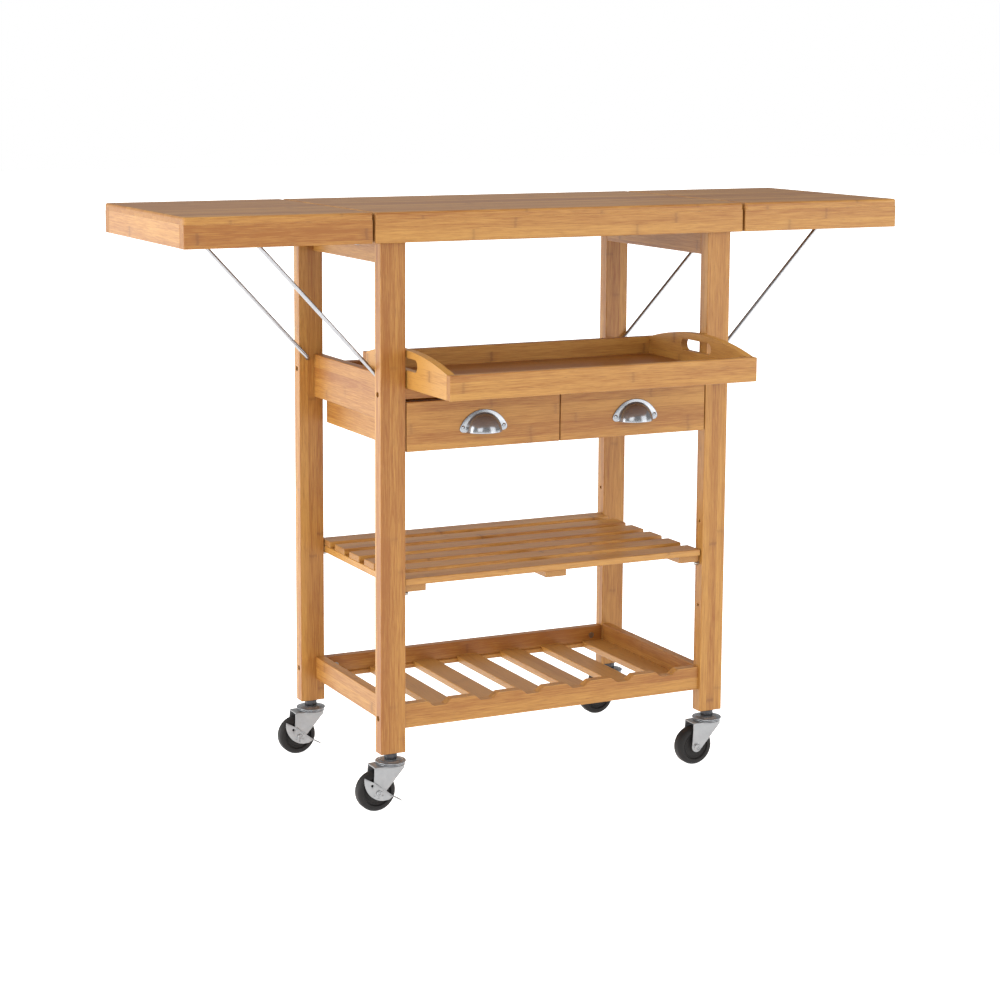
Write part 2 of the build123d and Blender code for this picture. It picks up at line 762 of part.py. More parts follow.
def make_hinge_half(side_x, y_middle, away, knuckles, pinned):
    """One half of a butt hinge: away is 1 for the leaf's half and -1 for the fixed one."""
    reach = lambda distance: side_x * (hinge_axis_x + away * distance)
    plate_heights = (board_bottom - hinge_plate_thickness, board_bottom)
    with BuildPart() as half:
        fill(
            (reach(knuckle_edge), reach(knuckle_edge + hinge_plate_width)),
            (y_middle - hinge_length / 2, y_middle + hinge_length / 2),
            plate_heights,
        )
        for low, high in knuckles:
            fill((reach(0), reach(knuckle_edge)), (y_middle + low, y_middle + high), plate_heights)
            start = (side_x * hinge_axis_x, y_middle + low, hinge_axis_z)
            rod(start, (0, 1, 0), hinge_knuckle_radius, high - low)
        start = (side_x * hinge_axis_x, y_middle - hinge_length / 2, hinge_axis_z)
        if pinned:
            rod(start, (0, 1, 0), hinge_pin_radius, hinge_length)
        else:
            rod(start, (0, 1, 0), hinge_pin_radius + running_clearance, hinge_length, Mode.SUBTRACT)
    return half.part


hinge_rows = (-hinge_offset_y, hinge_offset_y)
fixed_halves = [
    make_hinge_half(side_x, y, -1, outer_knuckles, True) for side_x, _ in sides for y in hinge_rows
]
save(fixed_halves, "hinge_fixed_plates")


# Leaves, each with its stiffening boards, its hinge halves and the catch for the wire stay
def make_leaf(side_x, side):
    save([make_panel(side_x * leaf_start, side_x * leaf_end)], f"leaf_panel_{side}")
    start = side_x * (leaf_start + board_recess)
    end = side_x * (leaf_end - board_recess)
    thickness = side_x * board_thickness
    save(make_long_boards(start, end), f"leaf_long_boards_{side}")
    cross_boards = [make_cross_board(start, start + thickness), make_cross_board(end - thickness, end)]
    save(cross_boards, f"leaf_cross_boards_{side}")
    halves = [make_hinge_half(side_x, y, 1, inner_knuckle, False) for y in hinge_rows]
    save(halves, f"hinge_leaf_plates_{side}")
    with BuildPart() as catch:
        bar_x = side_x * stay_bar_x
        catch_heights = (catch_bottom, panel_bottom)
        fill((bar_x - catch_width / 2, bar_x + catch_width / 2), (-catch_length / 2, catch_length / 2),
             catch_heights)
        fillet(catch.edges(), eased_edge)
        groove_centre = catch_bottom + catch_groove_depth - catch_groove_radius
        start = (bar_x, -catch_length / 2, groove_centre)
        rod(start, (0, 1, 0), catch_groove_radius, catch_length, Mode.SUBTRACT)
    save([catch.part], f"leaf_catch_{side}")


# Stays: one length of wire each, bent outwards at both ends into the legs
def make_stay(side_x, side):
    pivot_end = leg_facing + stay_pivot_depth
    pivot = (side_x * stay_pivot_x, stay_pivot_z)
    bar = (side_x * stay_bar_x, stay_bar_z)
    with BuildPart() as stay:
        with BuildLine() as route:
            FilletPolyline(
                (pivot[0], -pivot_end, pivot[1]),
                (pivot[0], -stay_arm_y, pivot[1]),
                (bar[0], -stay_arm_y, bar[1]),
                (bar[0], stay_arm_y, bar[1]),
                (pivot[0], stay_arm_y, pivot[1]),
                (pivot[0], pivot_end, pivot[1]),
                radius=[stay_pivot_bend, stay_corner_bend, stay_corner_bend, stay_pivot_bend],
            )
        with BuildSketch(Plane(origin=route.line @ 0, z_dir=route.line % 0)):
            Circle(wire_radius)
        sweep()
    save([stay.part], f"stay_{side}")


for side_x, side in sides:
    make_leaf(side_x, side)
    make_stay(side_x, side)

# Caster stems: threaded stem and nut above, king pin below, through the ball race's fixed cup
stems = []
for side_x, side_y, _ in corners:
    axis_x = side_x * leg_middle
    axis_y = side_y * leg_row
    head_bottom = fork_under - race_gap - king_pin_head_height
    with BuildPart() as stem:
        rod((axis_x, axis_y, race_top), (0, 0, 1), stem_radius, leg_bottom - race_top + stem_length)
        with BuildSketch(Plane((axis_x, axis_y, race_top))):
            RegularPolygon(stem_nut_flats / 2, 6, major_radius=False)
        extrude(amount=leg_bottom - race_top)
        rod((axis_x, axis_y, head_bottom), (0, 0, 1), king_pin_head_radius, king_pin_head_height)
        rod((axis_x, axis_y, head_bottom), (0, 0, 1), king_pin_radius, race_top - head_bottom)
        with BuildSketch(Plane((axis_x, axis_y, race_bottom))):
            Circle(race_radius)
        extrude(amount=race_height)
        rims = stem.edges().filter_by(GeomType.CIRCLE).filter_by(lambda e: e.radius > race_radius - 1)
        fillet(rims, race_height / 3)
    stems.append(stem.part)
save(stems, "caster_stems")


# Casters. All four trail to the left, as when the cart has just been pushed to the right.
def make_caster(side_x, side_y, corner):
    axis_x = side_x * leg_middle
    axis_y = side_y * leg_row
    axle_x = axis_x - caster_trail
    braked = corner in braked_corners
    with BuildPart() as fork:
        with BuildSketch(Plane((axis_x, axis_y, fork_under))):
            Circle(fork_disc_radius)
            with Locations(((fork_front - fork_rear) / 2, 0)):
                Rectangle(fork_front + fork_rear, 2 * fork_outer)
            Circle(king_pin_radius + race_gap, mode=Mode.SUBTRACT)
        extrude(amount=fork_top_metal)
        for face in (-fork_outer, fork_gap / 2):
            plate_plane = Plane((axis_x, axis_y + face, 0), x_dir=(1, 0, 0), z_dir=(0, -1, 0))
            with BuildSketch(plate_plane):
                with Locations((-caster_trail, wheel_radius)):
                    Circle(fork_boss_radius)
                with Locations(((fork_front - fork_rear) / 2, fork_under + fork_top_metal / 2)):
                    Rectangle(fork_front + fork_rear, fork_top_metal)
                make_hull()
                with Locations((-caster_trail, wheel_radius)):
                    Circle(axle_radius, mode=Mode.SUBTRACT)
            extrude(amount=-fork_metal)
    front_head_inner = fork_outer + (brake_metal + 2 * brake_gap if braked else 0)
    with BuildPart() as axle:
        start = (axle_x, axis_y - front_head_inner, wheel_radius)
        rod(start, (0, 1, 0), axle_radius, front_head_inner + fork_outer)
        rod(start, (0, -1, 0), axle_head_radius, axle_head_height)
        rod((axle_x, axis_y + fork_outer, wheel_radius), (0, 1, 0), axle_head_radius, axle_head_height)
    save([fork.part, axle.part], f"caster_fork_{corner}")

    axle_plane = Plane((axle_x, axis_y, wheel_radius), x_dir=(1, 0, 0), z_dir=(0, 0, 1))
    with BuildPart() as wheel:
        with BuildSketch(Plane(axle_plane.origin, x_dir=(0, 1, 0), z_dir=(1, 0, 0))) as section:
            rim_inner = wheel_radius - wheel_rim_depth
            with Locations((0, (wheel_radius + rim_inner) / 2)):
                Rectangle(wheel_width, wheel_rim_depth)
            fillet(section.vertices().group_by(Axis.Y)[-1], wheel_shoulder)
            with Locations((0, rim_inner / 2 + hub_radius / 2)):
                Rectangle(wheel_web_width, rim_inner - hub_radius + 1)
            bore_radius = axle_radius + running_clearance
            with Locations((0, (hub_radius + bore_radius) / 2)):
                Rectangle(hub_width, hub_radius - bore_radius)
        revolve(axis=Axis(axle_plane.origin, (0, 1, 0)))
    save([wheel.part], f"caster_wheel_{corner}")


for side_x, side_y, corner in corners:
    make_caster(side_x, side_y, corner)


def make_brake(side_y, corner):
    """A stamped lever on the axle's front end, with a foot pedal bent out at its heel."""
    axle_x = -leg_middle - caster_trail
    axis_y = side_y * leg_row
    lever_plane = Plane((axle_x, axis_y + brake_inner_face, wheel_radius), x_dir=(1, 0, 0), z_dir=(0, -1, 0))
    pedal_run = math.cos(math.radians(brake_pedal_slope))
    pedal_rise = math.sin(math.radians(brake_pedal_slope))
    heel_along = brake_heel[0] * pedal_run + brake_heel[1] * pedal_rise
    clear_radius = wheel_radius + brake_pedal_past_rim
    clear_of_rim = math.sqrt(heel_along**2 - math.hypot(*brake_heel) ** 2 + clear_radius**2) - heel_along
    pedal_length = clear_of_rim + brake_pedal_wide_length
    with BuildPart() as lever:
        with BuildSketch(lever_plane) as lever_outline:
            with BuildLine():
                Polyline(brake_tip, brake_shoulder, brake_heel, brake_toe, brake_belly)
                ThreePointArc(brake_belly, brake_back, brake_tip)
            make_face()
            fillet(lever_outline.vertices().sort_by(Axis.X)[0], 1.0)
            Circle(axle_radius + running_clearance, mode=Mode.SUBTRACT)
            with Locations(brake_hole_at):
                Circle(brake_hole_radius, mode=Mode.SUBTRACT)
        extrude(amount=brake_metal)
        # Pedal strip: narrow beside the wheel, full width past its rim
        pedal_plane = Plane(
            (axle_x + brake_heel[0], axis_y + brake_outer_face - brake_flange_width,
             wheel_radius + brake_heel[1]),
            x_dir=(pedal_run, 0, pedal_rise),
            z_dir=(-pedal_rise, 0, pedal_run),
        )
        narrow_width = brake_flange_width + brake_metal
        with BuildSketch(pedal_plane):
            with Locations((-2 * brake_metal, 0)):
                Rectangle(pedal_length + 2 * brake_metal, narrow_width, align=(Align.MIN, Align.MIN))
            with Locations((clear_of_rim, 0)):
                Rectangle(brake_pedal_wide_length, brake_pedal_width, align=(Align.MIN, Align.MIN))
        extrude(amount=-brake_metal)
    save([lever.part], f"brake_lever_{corner}")


for side_y, corner in ((-1, "front_left"), (1, "back_left")):
    make_brake(side_y, corner)
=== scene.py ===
import math
import bpy
from mathutils import Matrix, Vector


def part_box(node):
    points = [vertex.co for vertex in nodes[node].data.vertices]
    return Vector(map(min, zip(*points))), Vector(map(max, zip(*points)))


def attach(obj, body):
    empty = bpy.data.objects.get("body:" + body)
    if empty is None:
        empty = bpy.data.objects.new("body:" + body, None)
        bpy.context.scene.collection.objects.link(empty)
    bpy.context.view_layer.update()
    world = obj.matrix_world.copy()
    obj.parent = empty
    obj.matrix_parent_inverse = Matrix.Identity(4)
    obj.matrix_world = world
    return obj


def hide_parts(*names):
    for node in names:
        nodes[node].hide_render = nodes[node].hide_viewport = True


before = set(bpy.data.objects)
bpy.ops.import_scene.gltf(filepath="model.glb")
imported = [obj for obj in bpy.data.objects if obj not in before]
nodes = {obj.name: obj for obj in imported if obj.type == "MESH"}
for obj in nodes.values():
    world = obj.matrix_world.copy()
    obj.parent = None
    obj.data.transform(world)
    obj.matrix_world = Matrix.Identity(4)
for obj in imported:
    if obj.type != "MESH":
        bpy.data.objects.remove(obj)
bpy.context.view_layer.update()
mm = 0.001
corners = ("front_left", "front_right", "back_left", "back_right")
sides = ("left", "right")
print("frame loaded:", len(nodes), "nodes")

# Camera: stands to the front left, a little above the worktop
viewer = dict(place=(-1.5837, -3.0615, 1.0833), turn=-0.4469, tilt=-0.1452, roll=0.0035,
              lens=82.1, shiftX=0.04, shiftY=-0.10)
cameraData = bpy.data.cameras.new("camera")
cameraData.lens = viewer["lens"]
cameraData.shift_x = viewer["shiftX"]
cameraData.shift_y = viewer["shiftY"]
camera = bpy.data.objects.new("camera", cameraData)
bpy.context.scene.collection.objects.link(camera)
camera.matrix_world = (
    Matrix.Translation(viewer["place"])
    @ Matrix.Rotation(viewer["turn"], 4, "Z")
    @ Matrix.Rotation(math.pi / 2 + viewer["tilt"], 4, "X")
    @ Matrix.Rotation(viewer["roll"], 4, "Z")
)
bpy.context.scene.camera = camera


# Shader helpers
def addNode(tree, kind, inputs=None, **settings):
    node = tree.nodes.new(kind)
    for key, value in settings.items():
        setattr(node, key, value)
    for key, value in (inputs or {}).items():
        if isinstance(value, bpy.types.NodeSocket):
            tree.links.new(value, node.inputs[key])
        else:
            node.inputs[key].default_value = value
    return node


def calc(tree, operation, first, second=0.0, third=0.0):
    node = addNode(tree, "ShaderNodeMath", {0: first, 1: second, 2: third}, operation=operation)
    return node.outputs[0]


def ramp(tree, value, fromLow, fromHigh, toLow=0.0, toHigh=1.0):
    inputs = {"Value": value, "From Min": fromLow, "From Max": fromHigh, "To Min": toLow, "To Max": toHigh}
    return addNode(tree, "ShaderNodeMapRange", inputs, interpolation_type="SMOOTHSTEP").outputs[0]


def blendColour(tree, factor, first, second, way="MIX"):
    node = addNode(tree, "ShaderNodeMix", {0: factor, 6: first, 7: second}, data_type="RGBA", blend_type=way)
    return node.outputs[2]


def noise(tree, vector, scale, detail=2.0, rough=0.5):
    inputs = {"Vector": vector, "Scale": scale, "Detail": detail, "Roughness": rough}
    return addNode(tree, "ShaderNodeTexNoise", inputs).outputs[0]


def stretch(tree, vector, amounts, shift=None):
    moved = vector
    if shift is not None:
        moved = addNode(tree, "ShaderNodeVectorMath", {0: vector, 1: shift}, operation="ADD").outputs[0]
    return addNode(tree, "ShaderNodeVectorMath", {0: moved, 1: amounts}, operation="MULTIPLY").outputs[0]


def newGroup(name, inputs, outputs):
    group = bpy.data.node_groups.new(name, "ShaderNodeTree")
    for socketName, kind, value in inputs:
        socket = group.interface.new_socket(socketName, in_out="INPUT", socket_type=kind)
        if value is not None:
            socket.default_value = value
    for socketName, kind in outputs:
        group.interface.new_socket(socketName, in_out="OUTPUT", socket_type=kind)
    return group, addNode(group, "NodeGroupInput").outputs, addNode(group, "NodeGroupOutput").inputs


# Laminated bamboo. Grain is the place in metres as (along, across, through) the laminations.
def makeBambooGroup():
    group, given, result = newGroup(
        "laminatedBamboo",
        (("Grain", "NodeSocketVector", None), ("End", "NodeSocketFloat", 0.0),
         ("Strip Width", "NodeSocketFloat", 0.02), ("Strip Depth", "NodeSocketFloat", 0.006),
         ("Node Spacing", "NodeSocketFloat", 0.27), ("Tone Spread", "NodeSocketFloat", 0.5),
         ("Darkness", "NodeSocketFloat", 0.5), ("Light", "NodeSocketColor", (0.52, 0.258, 0.057, 1)),
         ("Dark", "NodeSocketColor", (0.31, 0.110, 0.017, 1))),
        (("Color", "NodeSocketColor"), ("Roughness", "NodeSocketFloat"), ("Height", "NodeSocketFloat")),
    )
    grain = given["Grain"]
    parts = addNode(group, "ShaderNodeSeparateXYZ", {0: grain}).outputs
    along, across, through = parts[0], parts[1], parts[2]
    lap = calc(group, "DIVIDE", across, given["Strip Width"])
    stack = calc(group, "DIVIDE", through, given["Strip Depth"])
    cell = addNode(group, "ShaderNodeCombineXYZ", {
        0: calc(group, "FLOOR", lap), 1: calc(group, "FLOOR", stack)}).outputs[0]
    chance = addNode(group, "ShaderNodeTexWhiteNoise", {"Vector": cell}, noise_dimensions="3D")
    chances = addNode(group, "ShaderNodeSeparateColor", {0: chance.outputs["Color"]}).outputs
    shift = chance.outputs["Color"]

    slow = noise(group, stretch(group, grain, (1.3, 16, 16), shift), 1.0, 2, 0.5)
    streak = noise(group, stretch(group, grain, (4.5, 110, 110), shift), 1.0, 4, 0.7)
    fibre = noise(group, stretch(group, grain, (28, 620, 620), shift), 1.0, 3, 0.65)
    fleck = noise(group, stretch(group, grain, (60, 1100, 1100), shift), 1.0, 1, 0.5)

    tone = calc(group, "MULTIPLY", calc(group, "SUBTRACT", chances[0], 0.5), given["Tone Spread"])
    tone = calc(group, "MULTIPLY_ADD", calc(group, "SUBTRACT", slow, 0.5), 1.7, tone)
    tone = calc(group, "MULTIPLY_ADD", calc(group, "SUBTRACT", streak, 0.5), 1.3, tone)
    tone = calc(group, "MULTIPLY_ADD", calc(group, "SUBTRACT", fibre, 0.5), 1.9, tone)
    tone = calc(group, "ADD", tone, given["Darkness"])
    tone = addNode(group, "ShaderNodeClamp", {0: tone}).outputs[0]
    colour = blendColour(group, tone, given["Light"], given["Dark"])
    flecks = ramp(group, fleck, 0.62, 0.74)
    colour = blendColour(group, calc(group, "MULTIPLY", flecks, 0.38), colour, (0.19, 0.070, 0.016, 1))

    # Nodes of the cane: a dark wavy line in a soft brown smudge, at its own place in every strip
    waver = noise(group, stretch(group, grain, (30, 260, 260), shift), 1.0, 2, 0.6)
    place = calc(group, "DIVIDE", along, given["Node Spacing"])
    place = calc(group, "ADD", place, calc(group, "MULTIPLY", chances[1], 7.0))
    place = calc(group, "MULTIPLY_ADD", calc(group, "SUBTRACT", waver, 0.5), 0.022, place)
    away = calc(group, "ABSOLUTE", calc(group, "SUBTRACT", calc(group, "FRACT", place), 0.5))
    away = calc(group, "MULTIPLY", away, given["Node Spacing"])
    line = ramp(group, away, 0.0036, 0.0006)
    band = ramp(group, away, 0.014, 0.001)
    weak = calc(group, "MAXIMUM", calc(group, "MULTIPLY_ADD", chances[2], 1.5, -0.5), 0.06)
    colour = blendColour(group, calc(group, "MULTIPLY", calc(group, "MULTIPLY", band, weak), 0.28), colour,
                         (0.22, 0.080, 0.020, 1))
    colour = blendColour(group, calc(group, "MULTIPLY", calc(group, "MULTIPLY", line, weak), 0.40), colour,
                         (0.15, 0.052, 0.013, 1))

    # Glue lines between strips
    def seam(position, size):
        fromMiddle = calc(group, "ABSOLUTE", calc(group, "SUBTRACT", calc(group, "FRACT", position), 0.5))
        edge = calc(group, "SUBTRACT", 0.5, fromMiddle)
        return ramp(group, calc(group, "MULTIPLY", edge, size), 0.00030, 0.0)
    glue = calc(group, "MAXIMUM", seam(lap, given["Strip Width"]), seam(stack, given["Strip Depth"]))
    colour = blendColour(group, calc(group, "MULTIPLY", glue, 0.18), colour, (0.20, 0.080, 0.022, 1))

    # Sawn ends: cut fibre bundles show as dark dots
    dotPlace = stretch(group, grain, (0, 1500, 1500))
    dots = addNode(group, "ShaderNodeTexVoronoi", {"Vector": dotPlace, "Scale": 1.0}).outputs["Distance"]
    dotMask = ramp(group, dots, 0.42, 0.18)
    endColour = blendColour(group, 0.45, colour, (0.31, 0.14, 0.045, 1))
    endColour = blendColour(group, calc(group, "MULTIPLY", dotMask, 0.5), endColour, (0.17, 0.075, 0.025, 1))
    colour = blendColour(group, given["End"], colour, endColour)
    group.links.new(colour, result["Color"])

    rough = calc(group, "MULTIPLY_ADD", fibre, 0.14, 0.36)
    rough = calc(group, "MULTIPLY_ADD", given["End"], 0.12, rough)
    group.links.new(rough, result["Roughness"])
    height = calc(group, "MULTIPLY_ADD", fibre, 0.5, calc(group, "MULTIPLY", line, 0.5))
    height = calc(group, "MULTIPLY_ADD", glue, -0.6, height)
    group.links.new(height, result["Height"])
    return group


# Edge mask: 1 on rounded rims and corners, 0 on flats; it places painted highlights on rounded bamboo edges
# and edge wear on metal
def makeEdgeHighlightAndWearGroup():
    group, given, result = newGroup(
        "edgeHighlightAndWear",
        (("Width", "NodeSocketFloat", 0.0015), ("Break Up", "NodeSocketFloat", 400.0)),
        (("Mask", "NodeSocketFloat"),),
    )
    place = addNode(group, "ShaderNodeTexCoord").outputs["Object"]
    soft = addNode(group, "ShaderNodeBevel", {"Radius": given["Width"]}, samples=4).outputs[0]
    flat = addNode(group, "ShaderNodeNewGeometry").outputs["Normal"]
    compare = addNode(group, "ShaderNodeVectorMath", {0: soft, 1: flat}, operation="DOT_PRODUCT")
    same = compare.outputs["Value"]
    mask = ramp(group, same, 0.985, 0.86)
    patchy = ramp(group, noise(group, place, given["Break Up"], 3, 0.6), 0.3, 0.62, 0.35, 1.0)
    group.links.new(calc(group, "MULTIPLY", mask, patchy), result["Mask"])
    return group


# Plated and moulded surfaces: slow blotches and fine grain
def makeMottleGroup():
    group, given, result = newGroup(
        "surfaceMottle",
        (("Blotch Scale", "NodeSocketFloat", 90.0), ("Grain Scale", "NodeSocketFloat", 2500.0)),
        (("Blotch", "NodeSocketFloat"), ("Grain", "NodeSocketFloat"), ("Scratch", "NodeSocketFloat")),
    )
    place = addNode(group, "ShaderNodeTexCoord").outputs["Object"]
    group.links.new(noise(group, place, given["Blotch Scale"], 3, 0.6), result["Blotch"])
    group.links.new(noise(group, place, given["Grain Scale"], 2, 0.6), result["Grain"])
    scratch = noise(group, stretch(group, place, (60, 900, 1400)), 1.0, 2, 0.7)
    group.links.new(ramp(group, scratch, 0.6, 0.72), result["Scratch"])
    return group


bambooGroup = makeBambooGroup()
edgeHighlightAndWearGroup = makeEdgeHighlightAndWearGroup()
mottleGroup = makeMottleGroup()


def newMaterial(name, **fixed):
    material = bpy.data.materials.new(name)
    material.use_nodes = True
    tree = material.node_tree
    shader = tree.nodes["Principled BSDF"]
    for socketName, value in fixed.items():
        shader.inputs[socketName].default_value = value
    return material, tree, shader


def useGroup(tree, group, inputs=None):
    node = addNode(tree, "ShaderNodeGroup", node_tree=group)
    for key, value in (inputs or {}).items():
        if isinstance(value, bpy.types.NodeSocket):
            tree.links.new(value, node.inputs[key])
        else:
            node.inputs[key].default_value = value
    return node.outputs


def addBump(tree, shader, height, strength, distance):
    bump = addNode(tree, "ShaderNodeBump", {"Strength": strength, "Distance": distance, "Height": height})
    tree.links.new(bump.outputs[0], shader.inputs["Normal"])


# One bamboo finish for each way a board can lie, with lit and shaded copies whose Darkness paints light or
# shade; axes are (along, across, through) the board
bambooFinishes = dict(
    bambooTop=dict(axes="XYZ", strip=0.0205, depth=0.0055, spacing=0.29, spread=0.42, darkness=0.50),
    # Shelf slats painted lighter than the base tone: painted light on their tops
    bambooLitShelf=dict(axes="XYZ", strip=0.0190, depth=0.0050, spacing=0.28, spread=0.30, darkness=0.25,
                     coat=0.22),
    # Tray floor painted darker: painted shade inside the tray
    bambooShadedTop=dict(axes="XYZ", strip=0.0205, depth=0.0055, spacing=0.29, spread=0.30, darkness=0.95),
    bambooRail=dict(axes="XZY", strip=0.0155, depth=0.0060, spacing=0.27, spread=0.30, darkness=0.50),
    # Back rails and the left leaf's long boards painted darker: painted shade
    bambooShadedRail=dict(axes="XZY", strip=0.0165, depth=0.0060, spacing=0.25, spread=0.26, darkness=0.82),
    bambooCross=dict(axes="YZX", strip=0.0155, depth=0.0060, spacing=0.24, spread=0.30, darkness=0.50),
    # Tray end boards painted paler: painted light
    bambooLitCross=dict(axes="YZX", strip=0.0165, depth=0.0060, spacing=0.22, spread=0.20, darkness=-0.05),
    # Slats, battens and leaf catches painted paler: painted light on their tops
    bambooLitSlat=dict(axes="YXZ", strip=0.0190, depth=0.0050, spacing=0.26, spread=0.30, darkness=-0.05,
                    coat=0.22),
    bambooLeg=dict(axes="ZXY", strip=0.0132, depth=0.0072, spacing=0.25, spread=0.44, darkness=0.50),
)


def makeBamboo(name, axes, strip, depth, spacing, spread, darkness, coat=0.10):
    material, tree, shader = newMaterial(name, **{"Coat Weight": coat, "Coat Roughness": 0.28, "IOR": 1.45})
    textures = addNode(tree, "ShaderNodeTexCoord").outputs
    place = addNode(tree, "ShaderNodeSeparateXYZ", {0: textures["Object"]}).outputs
    turned = {i: place["XYZ".index(axis)] for i, axis in enumerate(axes)}
    grain = addNode(tree, "ShaderNodeCombineXYZ", turned)
    facing = addNode(tree, "ShaderNodeSeparateXYZ", {0: textures["Normal"]}).outputs["XYZ".index(axes[0])]
    end = ramp(tree, calc(tree, "ABSOLUTE", facing), 0.6, 0.9)
    bamboo = useGroup(tree, bambooGroup, {
        "Grain": grain.outputs[0], "End": end, "Strip Width": strip, "Strip Depth": depth,
        "Node Spacing": spacing, "Tone Spread": spread, "Darkness": darkness})
    # Rounded edges painted lighter orange: a painted highlight on the arrises, broken up by noise
    edge = useGroup(tree, edgeHighlightAndWearGroup, {"Width": 0.0012, "Break Up": 120.0})["Mask"]
    colour = blendColour(tree, calc(tree, "MULTIPLY", edge, 0.28), bamboo["Color"], (0.58, 0.33, 0.13, 1))
    tree.links.new(colour, shader.inputs["Base Color"])
    tree.links.new(bamboo["Roughness"], shader.inputs["Roughness"])
    addBump(tree, shader, bamboo["Height"], 0.22, 0.0004)
    return material


bamboos = {name: makeBamboo(name, **values) for name, values in bambooFinishes.items()}


def makeMetal(name, colour, dull, rough, roughSpread, wear, bump, metallic=1.0):
    material, tree, shader = newMaterial(name, Metallic=metallic)
    mottle = useGroup(tree, mottleGroup)
    edge = useGroup(tree, edgeHighlightAndWearGroup, {"Width": 0.0007, "Break Up": 600.0})["Mask"]
    base = blendColour(tree, mottle["Blotch"], colour, dull)
    base = blendColour(tree, calc(tree, "MULTIPLY", edge, wear), base, (0.55, 0.55, 0.55, 1))
    tree.links.new(base, shader.inputs["Base Color"])
    roughness = calc(tree, "MULTIPLY_ADD", mottle["Blotch"], roughSpread, rough)
    roughness = calc(tree, "MULTIPLY_ADD", mottle["Scratch"], roughSpread, roughness)
    tree.links.new(roughness, shader.inputs["Roughness"])
    addBump(tree, shader, mottle["Grain"], bump, 0.00005)
    return material


chrome = makeMetal("polishedChrome", (0.35, 0.365, 0.385, 1), (0.28, 0.295, 0.315, 1), 0.17, 0.05, 0.2, 0.03,
                   metallic=0.75)
zinc = makeMetal("brightZinc", (0.35, 0.355, 0.36, 1), (0.25, 0.254, 0.26, 1), 0.26, 0.14, 0.4, 0.25,
                 metallic=0.7)
wire = makeMetal("nickelWire", (0.42, 0.42, 0.43, 1), (0.29, 0.29, 0.30, 1), 0.22, 0.12, 0.2, 0.15)
steel = makeMetal("hingeSteel", (0.45, 0.43, 0.39, 1), (0.30, 0.285, 0.26, 1), 0.30, 0.18, 0.4, 0.3)
raceSteel = makeMetal("raceSteel", (0.34, 0.35, 0.365, 1), (0.23, 0.24, 0.255, 1), 0.16, 0.12, 0.4, 0.15,
                      metallic=0.7)
darkSteel = makeMetal("darkNut", (0.10, 0.10, 0.105, 1), (0.05, 0.05, 0.055, 1), 0.38, 0.16, 0.25, 0.4)


def makeWheelRubber():
    fixed = {"IOR": 1.32, "Coat Weight": 0.02, "Coat Roughness": 0.4}
    material, tree, shader = newMaterial("wheelRubber", **fixed)
    mottle = useGroup(tree, mottleGroup, {"Blotch Scale": 60.0, "Grain Scale": 1600.0})
    edge = useGroup(tree, edgeHighlightAndWearGroup, {"Width": 0.0015, "Break Up": 500.0})["Mask"]
    base = blendColour(tree, mottle["Blotch"], (0.009, 0.0082, 0.008, 1), (0.020, 0.0175, 0.0165, 1))
    # Rounded rims and corners made lighter grey through the edge mask
    base = blendColour(tree, calc(tree, "MULTIPLY", edge, 0.35), base, (0.055, 0.050, 0.047, 1))
    tree.links.new(base, shader.inputs["Base Color"])
    tree.links.new(calc(tree, "MULTIPLY_ADD", mottle["Grain"], 0.25, 0.42), shader.inputs["Roughness"])
    addBump(tree, shader, mottle["Grain"], 0.3, 0.00012)
    return material


rubber = makeWheelRubber()
print("materials made")

# Modelling helpers. Sizes are in millimetres, measured from the place given
def selectOnly(piece):
    bpy.ops.object.select_all(action="DESELECT")
    piece.select_set(True)
    bpy.context.view_layer.objects.active = piece


def onCircle(radius, turn):
    return radius * math.cos(math.radians(turn)), radius * math.sin(math.radians(turn))


def arc(centre, radius, start, end, count):
    spots = [onCircle(radius, start + (end - start) * i / count) for i in range(count + 1)]
    return [(centre[0] + x, centre[1] + y) for x, y in spots]


def drawLine(name, points):
    bpy.ops.object.select_all(action="DESELECT")
    bpy.ops.mesh.primitive_plane_add(size=mm)
    piece = bpy.context.object
    piece.name = name
    bpy.ops.object.mode_set(mode="EDIT")
    bpy.ops.mesh.select_all(action="SELECT")
    bpy.ops.mesh.merge(type="CENTER")
    bpy.ops.transform.translate(value=points[0])
    for here, there in zip(points, points[1:]):
        bpy.ops.mesh.extrude_region_move(TRANSFORM_OT_translate={"value": there - here})
    return piece


def tidyMesh(piece):
    bpy.ops.mesh.select_all(action="SELECT")
    bpy.ops.mesh.remove_doubles(threshold=0.002 * mm)
    bpy.ops.mesh.normals_make_consistent(inside=False)
    bpy.ops.object.mode_set(mode="OBJECT")
    return piece


def lathe(name, profile, centre, axis, steps=48):
    out, along = Vector((1, 0, 0)), Vector((0, 0, 1))
    if axis == "Y":
        out, along = Vector((0, 0, 1)), Vector((0, 1, 0))
    points = [centre + (out * radius + along * height) * mm for radius, height in profile]
    piece = drawLine(name, points)
    bpy.ops.mesh.select_all(action="SELECT")
    bpy.ops.mesh.spin(steps=steps, angle=2 * math.pi, center=centre, axis=along)
    return tidyMesh(piece)


# A plate cut to an outline and given its thickness.
# The outline is (x, z) for "Y" plates and (x, y) for "Z" plates
def cutPlate(name, outline, centre, axis, start, end):
    if axis == "Y":
        points = [centre + Vector((x, start, z)) * mm for x, z in outline]
        push = Vector((0, end - start, 0)) * mm
    else:
        points = [centre + Vector((x, y, start)) * mm for x, y in outline]
        push = Vector((0, 0, end - start)) * mm
    piece = drawLine(name, points)
    bpy.ops.mesh.select_all(action="SELECT")
    bpy.ops.mesh.edge_face_add()
    bpy.ops.mesh.extrude_region_move(TRANSFORM_OT_translate={"value": push})
    return tidyMesh(piece)


